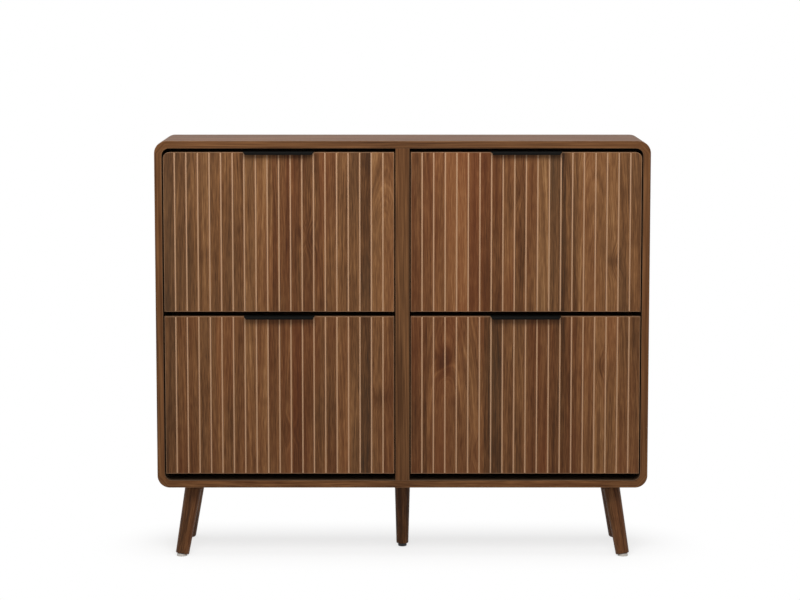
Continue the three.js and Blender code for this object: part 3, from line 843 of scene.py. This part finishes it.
def nail_places(lo, hi):
    """Places for nails along the four edges of a back sheet."""
    inset, spacing = sizes().nail_inset, sizes().nail_spacing
    low, high = lo + Vector((inset, 0, inset)), hi - Vector((inset, 0, inset))

    def spread(start, end):
        count = round((end - start) / spacing)
        return [start + (end - start) * (i + 0.5) / count for i in range(count)]

    places = [(x, hi.y, z) for z in spread(low.z, high.z) for x in (low.x, high.x)]
    places += [(x, hi.y, z) for x in spread(low.x, high.x) for z in (low.z, high.z)]
    return places


def nail_heads(places, facing):
    """Low domed nail heads."""
    radius = sizes().nail_radius
    profile = ((0, radius * 0.22), (radius * 0.7, radius * 0.2), (radius, 0), (0, 0))
    return heads(profile, places, facing, steps=10)


class CABINET_OT_back(Operator):
    """Finishes the back sheets and nails them on"""

    bl_idname = "cabinet.back"
    bl_label = "Back sheets"

    def execute(self, context):
        board = material_for(hardboard)
        steel = (material_for(zinc_plated_steel),)
        for _, hand in HANDS:
            node = f"{hand}_back_sheet"
            dress(node, board)
            nails = nail_heads(nail_places(*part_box(node)), (0, 1, 0))
            add_piece(f"{hand}_back_nails", nails, steel, node, extra=True)
        return {"FINISHED"}


# ---- flip drawers


def slatted_front(bay):
    """A front with its grooves and soft slats, and an upper one's rounded outer corner."""
    lo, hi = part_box(f"{bay}_front")
    size = sizes()
    count = math.floor((hi.x - lo.x) / size.groove_pitch)
    centre = (lo.x + hi.x) / 2
    floor = lo.y + size.groove_depth
    outline = [(lo.x, hi.y), (lo.x, lo.y)]
    for i in range(count):
        middle = centre + (i - (count - 1) / 2) * size.groove_pitch
        left, right = middle - size.groove_width / 2, middle + size.groove_width / 2
        outline += [(left, lo.y), (left, floor), (right, floor), (right, lo.y)]
    outline += [(hi.x, lo.y), (hi.x, hi.y)]
    bm = prism(outline, Z, lo.z, hi.z)
    if bay.startswith("upper"):
        outer = lo.x if bay.endswith("left") else hi.x
        corner = edges_on(bm, (X, outer), (Z, hi.z))
        soften(bm, corner, size.front_corner_radius, segments=14)
    soften(bm, edges_on(bm, (Y, lo.y)), size.slat_arris, worn=1)
    soften(bm, edges_on(bm, (Y, hi.y)), size.slat_arris)
    return bm


class CABINET_OT_fronts(Operator):
    """Builds the grooved fronts"""

    bl_idname = "cabinet.fronts"
    bl_label = "Fronts"

    def execute(self, context):
        for bay in BAYS:
            node = f"{bay}_front"
            veneer = front_veneer(bay, *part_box(node))
            front = slatted_front(bay)
            add_piece(f"{bay}_slatted_front", front, (veneer,), node)
        return {"FINISHED"}


def folded_pull(bay):
    """A strip with a lip, a shelf over the front's top edge and a leg down its back."""
    lo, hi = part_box(f"{bay}_handle")
    size = sizes()
    lip_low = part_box(f"{bay}_front")[1].z - size.lip
    bm = bmesh.new()
    lip = (size.lip_end_cut, lo.y, lip_low)
    rows = (lip, (0, lo.y, hi.z), (0, hi.y, hi.z), (0, hi.y, lo.z))
    pairs = []
    for inset, y, z in rows:
        pairs.append([bm.verts.new((x, y, z)) for x in (lo.x + inset, hi.x - inset)])
    for (a, b), (c, d) in zip(pairs, pairs[1:]):
        bm.faces.new((a, b, d, c))
    folds = edges_on(bm, (Z, hi.z), (Y, lo.y)) + edges_on(bm, (Z, hi.z), (Y, hi.y))
    soften(bm, folds, size.fold_radius, segments=6)
    bmesh.ops.recalc_face_normals(bm, faces=bm.faces)
    outward = max(bm.faces, key=lambda face: face.calc_area()).normal.z > 0
    if not outward:
        bmesh.ops.reverse_faces(bm, faces=bm.faces)
    bmesh.ops.solidify(bm, geom=bm.faces[:], thickness=size.sheet)
    soften(bm, creases(bm), size.sheet_arris)
    return bm


class CABINET_OT_pulls(Operator):
    """Builds the folded black pulls and their screws"""

    bl_idname = "cabinet.pulls"
    bl_label = "Pulls"

    def execute(self, context):
        coat = (material_for(black_powder_coat_and_shade),)
        steel = (material_for(zinc_plated_steel),)
        for bay in BAYS:
            node = f"{bay}_handle"
            add_piece(f"{bay}_folded_pull", folded_pull(bay), coat, node)
            lo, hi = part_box(node)
            reach = (hi.x - lo.x) * 0.32  # from the middle to a screw
            middle, height = (lo.x + hi.x) / 2, lo.z + 6.5 * MM
            places = [(middle + side * reach, hi.y, height) for side in (LEFT, RIGHT)]
            screws = screw_heads(places, (0, 1, 0))
            add_piece(f"{bay}_pull_screws", screws, steel, node, extra=True)
        return {"FINISHED"}


class CABINET_OT_pivots(Operator):
    """Finishes the pivot plates and screws them to the walls of their bays"""

    bl_idname = "cabinet.pivots"
    bl_label = "Pivot plates"

    def execute(self, context):
        # The black coat on the plates and their screws is painted shade: it keeps them dark in
        # the gaps beside the fronts.
        coat = (material_for(black_powder_coat_and_shade),)
        sheet, edge = 2 * MM, 5 * MM  # the plate's thickness, and from its edges to a screw
        for node, side in [(f"{bay}_{hand}_pivot", side) for bay in BAYS for side, hand in HANDS]:
            add_piece(f"{node}_plate", merged_copy(node), coat, node)
            lo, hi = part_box(node)
            face = (lo.x if side == LEFT else hi.x) - side * sheet
            places = [(face, hi.y - edge, lo.z + edge), (face, lo.y + edge, hi.z - edge)]
            screws = screw_heads(places, (-side, 0, 0))
            add_piece(f"{node}_screws", screws, coat, node, extra=True)
        return {"FINISHED"}


def moulded_tray(node):
    """An L-shaped tray with a rounded fold and shallow moulded panels in its floor and wall."""
    lo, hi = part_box(node)
    size = sizes()
    wall, floor = hi.y - size.tray_sheet, lo.z + size.tray_sheet
    outside = ((lo.y, lo.z), (hi.y, lo.z), (hi.y, hi.z))
    bm = prism((*outside, (wall, hi.z), (wall, floor), (lo.y, floor)), X, lo.x, hi.x)
    soften(bm, edges_on(bm, (Y, hi.y), (Z, lo.z)), size.tray_fold, segments=5)
    soften(bm, edges_on(bm, (Y, wall), (Z, floor)), size.tray_fold * 0.6, segments=4)
    for i in range(1, size.tray_panels):
        cut_through(bm, (lo.x + (hi.x - lo.x) * i / size.tray_panels, 0, 0), (1, 0, 0))
    bm.normal_update()
    least = 0.004  # square metres; the rounded fold's faces are smaller
    shown = [f for f in bm.faces if f.normal.y < -0.9 or f.normal.z > 0.9]
    wide = [f for f in shown if f.calc_area() > least]
    bmesh.ops.inset_individual(bm, faces=wide, thickness=size.panel_margin, depth=0)
    slope, sunk = 1.2 * MM, 1.1 * MM
    bmesh.ops.inset_individual(bm, faces=wide, thickness=slope, depth=-sunk)
    soften(bm, creases(bm, 75), size.moulded_edge)
    return bm


class CABINET_OT_racks(Operator):
    """Builds the tilting shoe racks: cheeks and trays"""

    bl_idname = "cabinet.racks"
    bl_label = "Shoe racks"

    def execute(self, context):
        plastic = (material_for(black_moulded_plastic),)
        for bay in BAYS:
            for _, hand in HANDS:
                node = f"{bay}_{hand}_cheek"
                cheek = merged_copy(node)
                soften(cheek, creases(cheek), sizes().moulded_edge)
                add_piece(f"{node}_moulded", cheek, plastic, node)
            for row in ("front", "rear"):
                node = f"{bay}_{row}_tray"
                add_piece(f"{node}_moulded", moulded_tray(node), plastic, node)
        return {"FINISHED"}


# ---- legs


def leg_frame(name):
    """The matrix that stands a turned piece on a splayed leg's axis, from the floor up."""
    lo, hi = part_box(f"{name}_leg_plate")
    top = Vector(((lo.x + hi.x) / 2, (lo.y + hi.y) / 2, hi.z))
    floor = [v.co for v in frame["nodes"][f"{name}_glide"].data.vertices if v.co.z < 0.01 * MM]
    foot = Vector(((min(v[a] for v in floor) + max(v[a] for v in floor)) / 2 for a in (X, Y, Z)))
    turn = (top - foot).to_track_quat("Z", "Y").to_matrix().to_4x4()
    return Matrix.Translation(foot) @ turn


def centre_stand():
    """The matrix that stands a turned piece under the middle of the case."""
    lo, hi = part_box("levelling_foot")
    return Matrix.Translation(((lo.x + hi.x) / 2, (lo.y + hi.y) / 2, 0))


def stand_up(bm, stand):
    bmesh.ops.transform(bm, matrix=stand, verts=bm.verts)


def along_axis(node, stand):
    """A turned CAD node's two ends along its axis, and its radius near each of them."""
    local = [stand.inverted() @ v.co for v in frame["nodes"][node].data.vertices]
    low, high = min(v.z for v in local), max(v.z for v in local)
    middle = (low + high) / 2
    lower = max(math.hypot(v.x, v.y) for v in local if v.z < middle)
    upper = max(math.hypot(v.x, v.y) for v in local if v.z > middle)
    return low, high, lower, upper


def add_leg(name, node, stand, rim, leg_finish, aside):
    """Turns a tapered leg with a rounded lower rim, from its own part of the wood."""
    low, high, lower, upper = along_axis(node, stand)
    steps = 6
    profile = [(0, low)]
    for i in range(steps + 1):
        angle = math.pi / 2 * i / steps
        profile.append((lower - rim * (1 - math.sin(angle)), low + rim * (1 - math.cos(angle))))
    edge = 0.6 * MM
    profile += [(upper, high - edge), (upper - edge, high), (0, high)]
    bm = spun(profile, sizes().turning_steps)
    set_grain(bm, lambda co: (co.z, co.x - aside, co.y))
    stand_up(bm, stand)
    add_piece(name, bm, (leg_finish,), node)


class CABINET_OT_legs(Operator):
    """Turns the four splayed legs and the centre leg"""

    bl_idname = "cabinet.legs"
    bl_label = "Legs"

    def execute(self, context):
        stained = walnut("leg_walnut", heart=0.05, tone=-0.12)
        # A darker copy of the leg walnut for the centre leg: painted shade for its place under
        # the middle of the case.
        shaded = walnut("centre_leg_painted_shade_walnut", heart=0.05, tone=-0.24)
        rim = sizes().rim_radius
        for i, name in enumerate(LEGS):
            stand, aside = leg_frame(name), LEG_SPACING * i
            add_leg(f"{name}_turned_leg", f"{name}_leg", stand, rim, stained, aside)
        add_leg("centre_turned_leg", "centre_leg", centre_stand(), 1 * MM, shaded, 0.5)
        return {"FINISHED"}


class CABINET_OT_leg_plates(Operator):
    """Finishes the leg plates and screws them under the case; their black is partly painted shade
    at the leg tops
    """

    bl_idname = "cabinet.leg_plates"
    bl_label = "Leg plates"

    def execute(self, context):
        # The black coat on the plates and screws is partly painted shade: it darkens the joint at
        # each leg's top.
        coat = (material_for(black_powder_coat_and_shade),)
        sheet, inset = 2.5 * MM, 7.5 * MM  # the plate's thickness, and from its edges to a screw
        for node in [f"{name}_leg_plate" for name in LEGS] + ["centre_leg_plate"]:
            plate = merged_copy(node)
            lo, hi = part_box(node)
            corners = box_edges(plate, lo, hi, X, Y)
            soften(plate, corners, sizes().plate_corner, segments=6)
            add_piece(f"{node}_black_as_shade", plate, coat, node)
            across, back = (lo.x + inset, hi.x - inset), (lo.y + inset, hi.y - inset)
            places = [(x, y, hi.z - sheet) for x in across for y in back]
            screws = screw_heads(places, (0, 0, -1))
            add_piece(f"{node}_screws", screws, coat, node, extra=True)
        return {"FINISHED"}


def turned_glide(name):
    """A glide on the leg's axis, rounded and cut flat where it meets the floor."""
    stand = leg_frame(name)
    _, high, _, radius = along_axis(f"{name}_glide", stand)
    below, edge = -20 * MM, 0.8 * MM
    top = ((radius, high - edge), (radius - edge, high), (0, high))
    bm = spun(((0, below), (radius, below), *top), steps=40)
    stand_up(bm, stand)
    under = cut_through(bm, (0, 0, 0), (0, 0, -1), clear_outer=True, dist=1e-6)
    rim = [e for e in under if isinstance(e, bmesh.types.BMEdge)]
    bmesh.ops.edgeloop_fill(bm, edges=rim)
    bmesh.ops.recalc_face_normals(bm, faces=bm.faces)
    return bm


def turned_foot():
    """The levelling foot: a round pad with its stem, which goes up into the centre leg."""
    lo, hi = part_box("levelling_foot")
    radius = (hi.x - lo.x) / 2
    base, stem, edge, tip = 8 * MM, 4 * MM, 1 * MM, 0.6 * MM
    sole = ((0, 0), (radius - 1.6 * MM, 0), (radius - 0.4 * MM, 0.6 * MM), (radius, 2 * MM))
    shoulder = ((radius, base - edge), (radius - edge, base), (stem, base))
    top = ((stem, hi.z - tip), (stem - tip, hi.z), (0, hi.z))
    bm = spun((*sole, *shoulder, *top), steps=40)
    stand_up(bm, centre_stand())
    return bm


class CABINET_OT_feet(Operator):
    """Builds the glides and the levelling foot"""

    bl_idname = "cabinet.feet"
    bl_label = "Feet"

    def execute(self, context):
        pale = (material_for(pale_glide_plastic),)
        for name in LEGS:
            node = f"{name}_glide"
            add_piece(f"{node}_pad", turned_glide(name), pale, node)
        black = (material_for(black_moulded_plastic),)
        foot = "levelling_foot"
        add_piece(f"{foot}_pad", turned_foot(), black, foot)
        return {"FINISHED"}


# ---- stage


def seen_directly(shader):
    """1 for what the camera sees directly, in a reflection or through glass."""
    path = shader.add("ShaderNodeLightPath").socket.node
    rays = ("Is Camera Ray", "Is Glossy Ray", "Is Transmission Ray")
    camera, glossy, through = (Value(shader, path.outputs[name]) for name in rays)
    return (camera + glossy + through).clamped()


def set_world(strength):
    world = bpy.data.worlds.new("studio_sky")
    bpy.context.scene.world = world
    shader = Shader(world)
    level = strength + seen_directly(shader) * (1 - strength)
    sky = shader.add("ShaderNodeBackground", {"Color": WHITE, "Strength": level})
    shader.show(sky, "ShaderNodeOutputWorld")


def make_floor(grey, white, lift):
    """A pale floor that keeps the cabinet's soft shadow and goes plain white away from it."""
    bm = bmesh.new()
    bmesh.ops.create_grid(bm, x_segments=1, y_segments=1, size=30)
    shader = new_shader("studio_floor")
    new_object("studio_floor", bm, (shader.owner,))
    x, y, _ = shader.split(shader.coordinates())
    half_width, near, far = 0.5, 0.05, 0.3  # of the shaded middle, and of the fade round it
    beside = ((x * x).root() - half_width).most(0)
    away = (beside * beside + y * y).root()
    share = white + shader.between(away, near, far) * (1 - white)
    paint = shader.add("ShaderNodeBsdfDiffuse", {"Color": (grey, grey, grey, 1)})
    seen = seen_directly(shader)
    added = shader.add("ShaderNodeEmission", {"Color": WHITE, "Strength": seen * lift})
    lifted = shader.add("ShaderNodeAddShader", {0: paint, 1: added})
    glow = shader.add("ShaderNodeEmission", {"Color": WHITE, "Strength": 1})
    shader.show(shader.add("ShaderNodeMixShader", {0: share * seen, 1: lifted, 2: glow}))


def add_lamp(name, place, target, size, power):
    lamp = bpy.data.lights.new(name, "AREA")
    lamp.shape = "RECTANGLE"
    lamp.size, lamp.size_y = size
    lamp.energy = power
    holder = bpy.data.objects.new(name, lamp)
    holder.location = place
    aim = Vector(target) - Vector(place)
    holder.rotation_euler = aim.to_track_quat("-Z", "Y").to_euler()
    bpy.context.scene.collection.objects.link(holder)


class CABINET_OT_stage(Operator):
    """Sets the floor, the light and the camera"""

    bl_idname = "cabinet.stage"
    bl_label = "Stage"

    def execute(self, context):
        scene = context.scene
        stage = scene.cabinet_stage
        scene.view_settings.view_transform = "Standard"
        set_world(stage.sky)
        make_floor(stage.floor_grey, stage.floor_white, stage.floor_lift)
        add_lamp("key_lamp", (-0.1, -1.7, 2.25), (0, 0, 0.6), (1.6, 1.0), stage.key)
        add_lamp("top_lamp", (0.1, -0.2, 3), (0, 0, 1), (1.8, 1.2), stage.top)
        camera = bpy.data.cameras.new("camera")
        camera.lens = stage.lens
        camera.shift_y = stage.shift
        holder = bpy.data.objects.new("camera", camera)
        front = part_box("bottom_board")[0].y
        holder.location = (stage.aside, front - stage.distance, stage.height)
        holder.rotation_euler = (math.pi / 2 - stage.pitch, 0, 0)
        scene.collection.objects.link(holder)
        scene.camera = holder
        return {"FINISHED"}


# ---- panel and registration

BUILDERS = (
    CABINET_OT_stage,
    CABINET_OT_case,
    CABINET_OT_back,
    CABINET_OT_fronts,
    CABINET_OT_pulls,
    CABINET_OT_pivots,
    CABINET_OT_racks,
    CABINET_OT_legs,
    CABINET_OT_leg_plates,
    CABINET_OT_feet,
)
GROUPS = {
    "cabinet_sizes": CabinetSizes,
    "cabinet_finish": CabinetFinish,
    "cabinet_stage": CabinetStage,
}


class CABINET_PT_panel(Panel):
    """The cabinet's sizes, finishes and building steps"""

    bl_idname = "CABINET_PT_panel"
    bl_label = "Shoe cabinet"
    bl_space_type = "VIEW_3D"
    bl_region_type = "UI"
    bl_category = "Cabinet"

    def draw(self, context):
        for name, group in GROUPS.items():
            box = self.layout.box()
            for prop in group.__annotations__:
                box.prop(getattr(context.scene, name), prop)
        for builder in BUILDERS:
            self.layout.operator(builder.bl_idname)


CLASSES = (*GROUPS.values(), *BUILDERS, CABINET_PT_panel)


def register():
    for cls in CLASSES:
        bpy.utils.register_class(cls)
    for name, group in GROUPS.items():
        setattr(bpy.types.Scene, name, PointerProperty(type=group))


def unregister():
    for name in GROUPS:
        delattr(bpy.types.Scene, name)
    for cls in reversed(CLASSES):
        bpy.utils.unregister_class(cls)


def main():
    register()
    for builder in BUILDERS:
        getattr(bpy.ops.cabinet, builder.bl_idname.split(".")[1])()


if __name__ == "__main__":
    main()
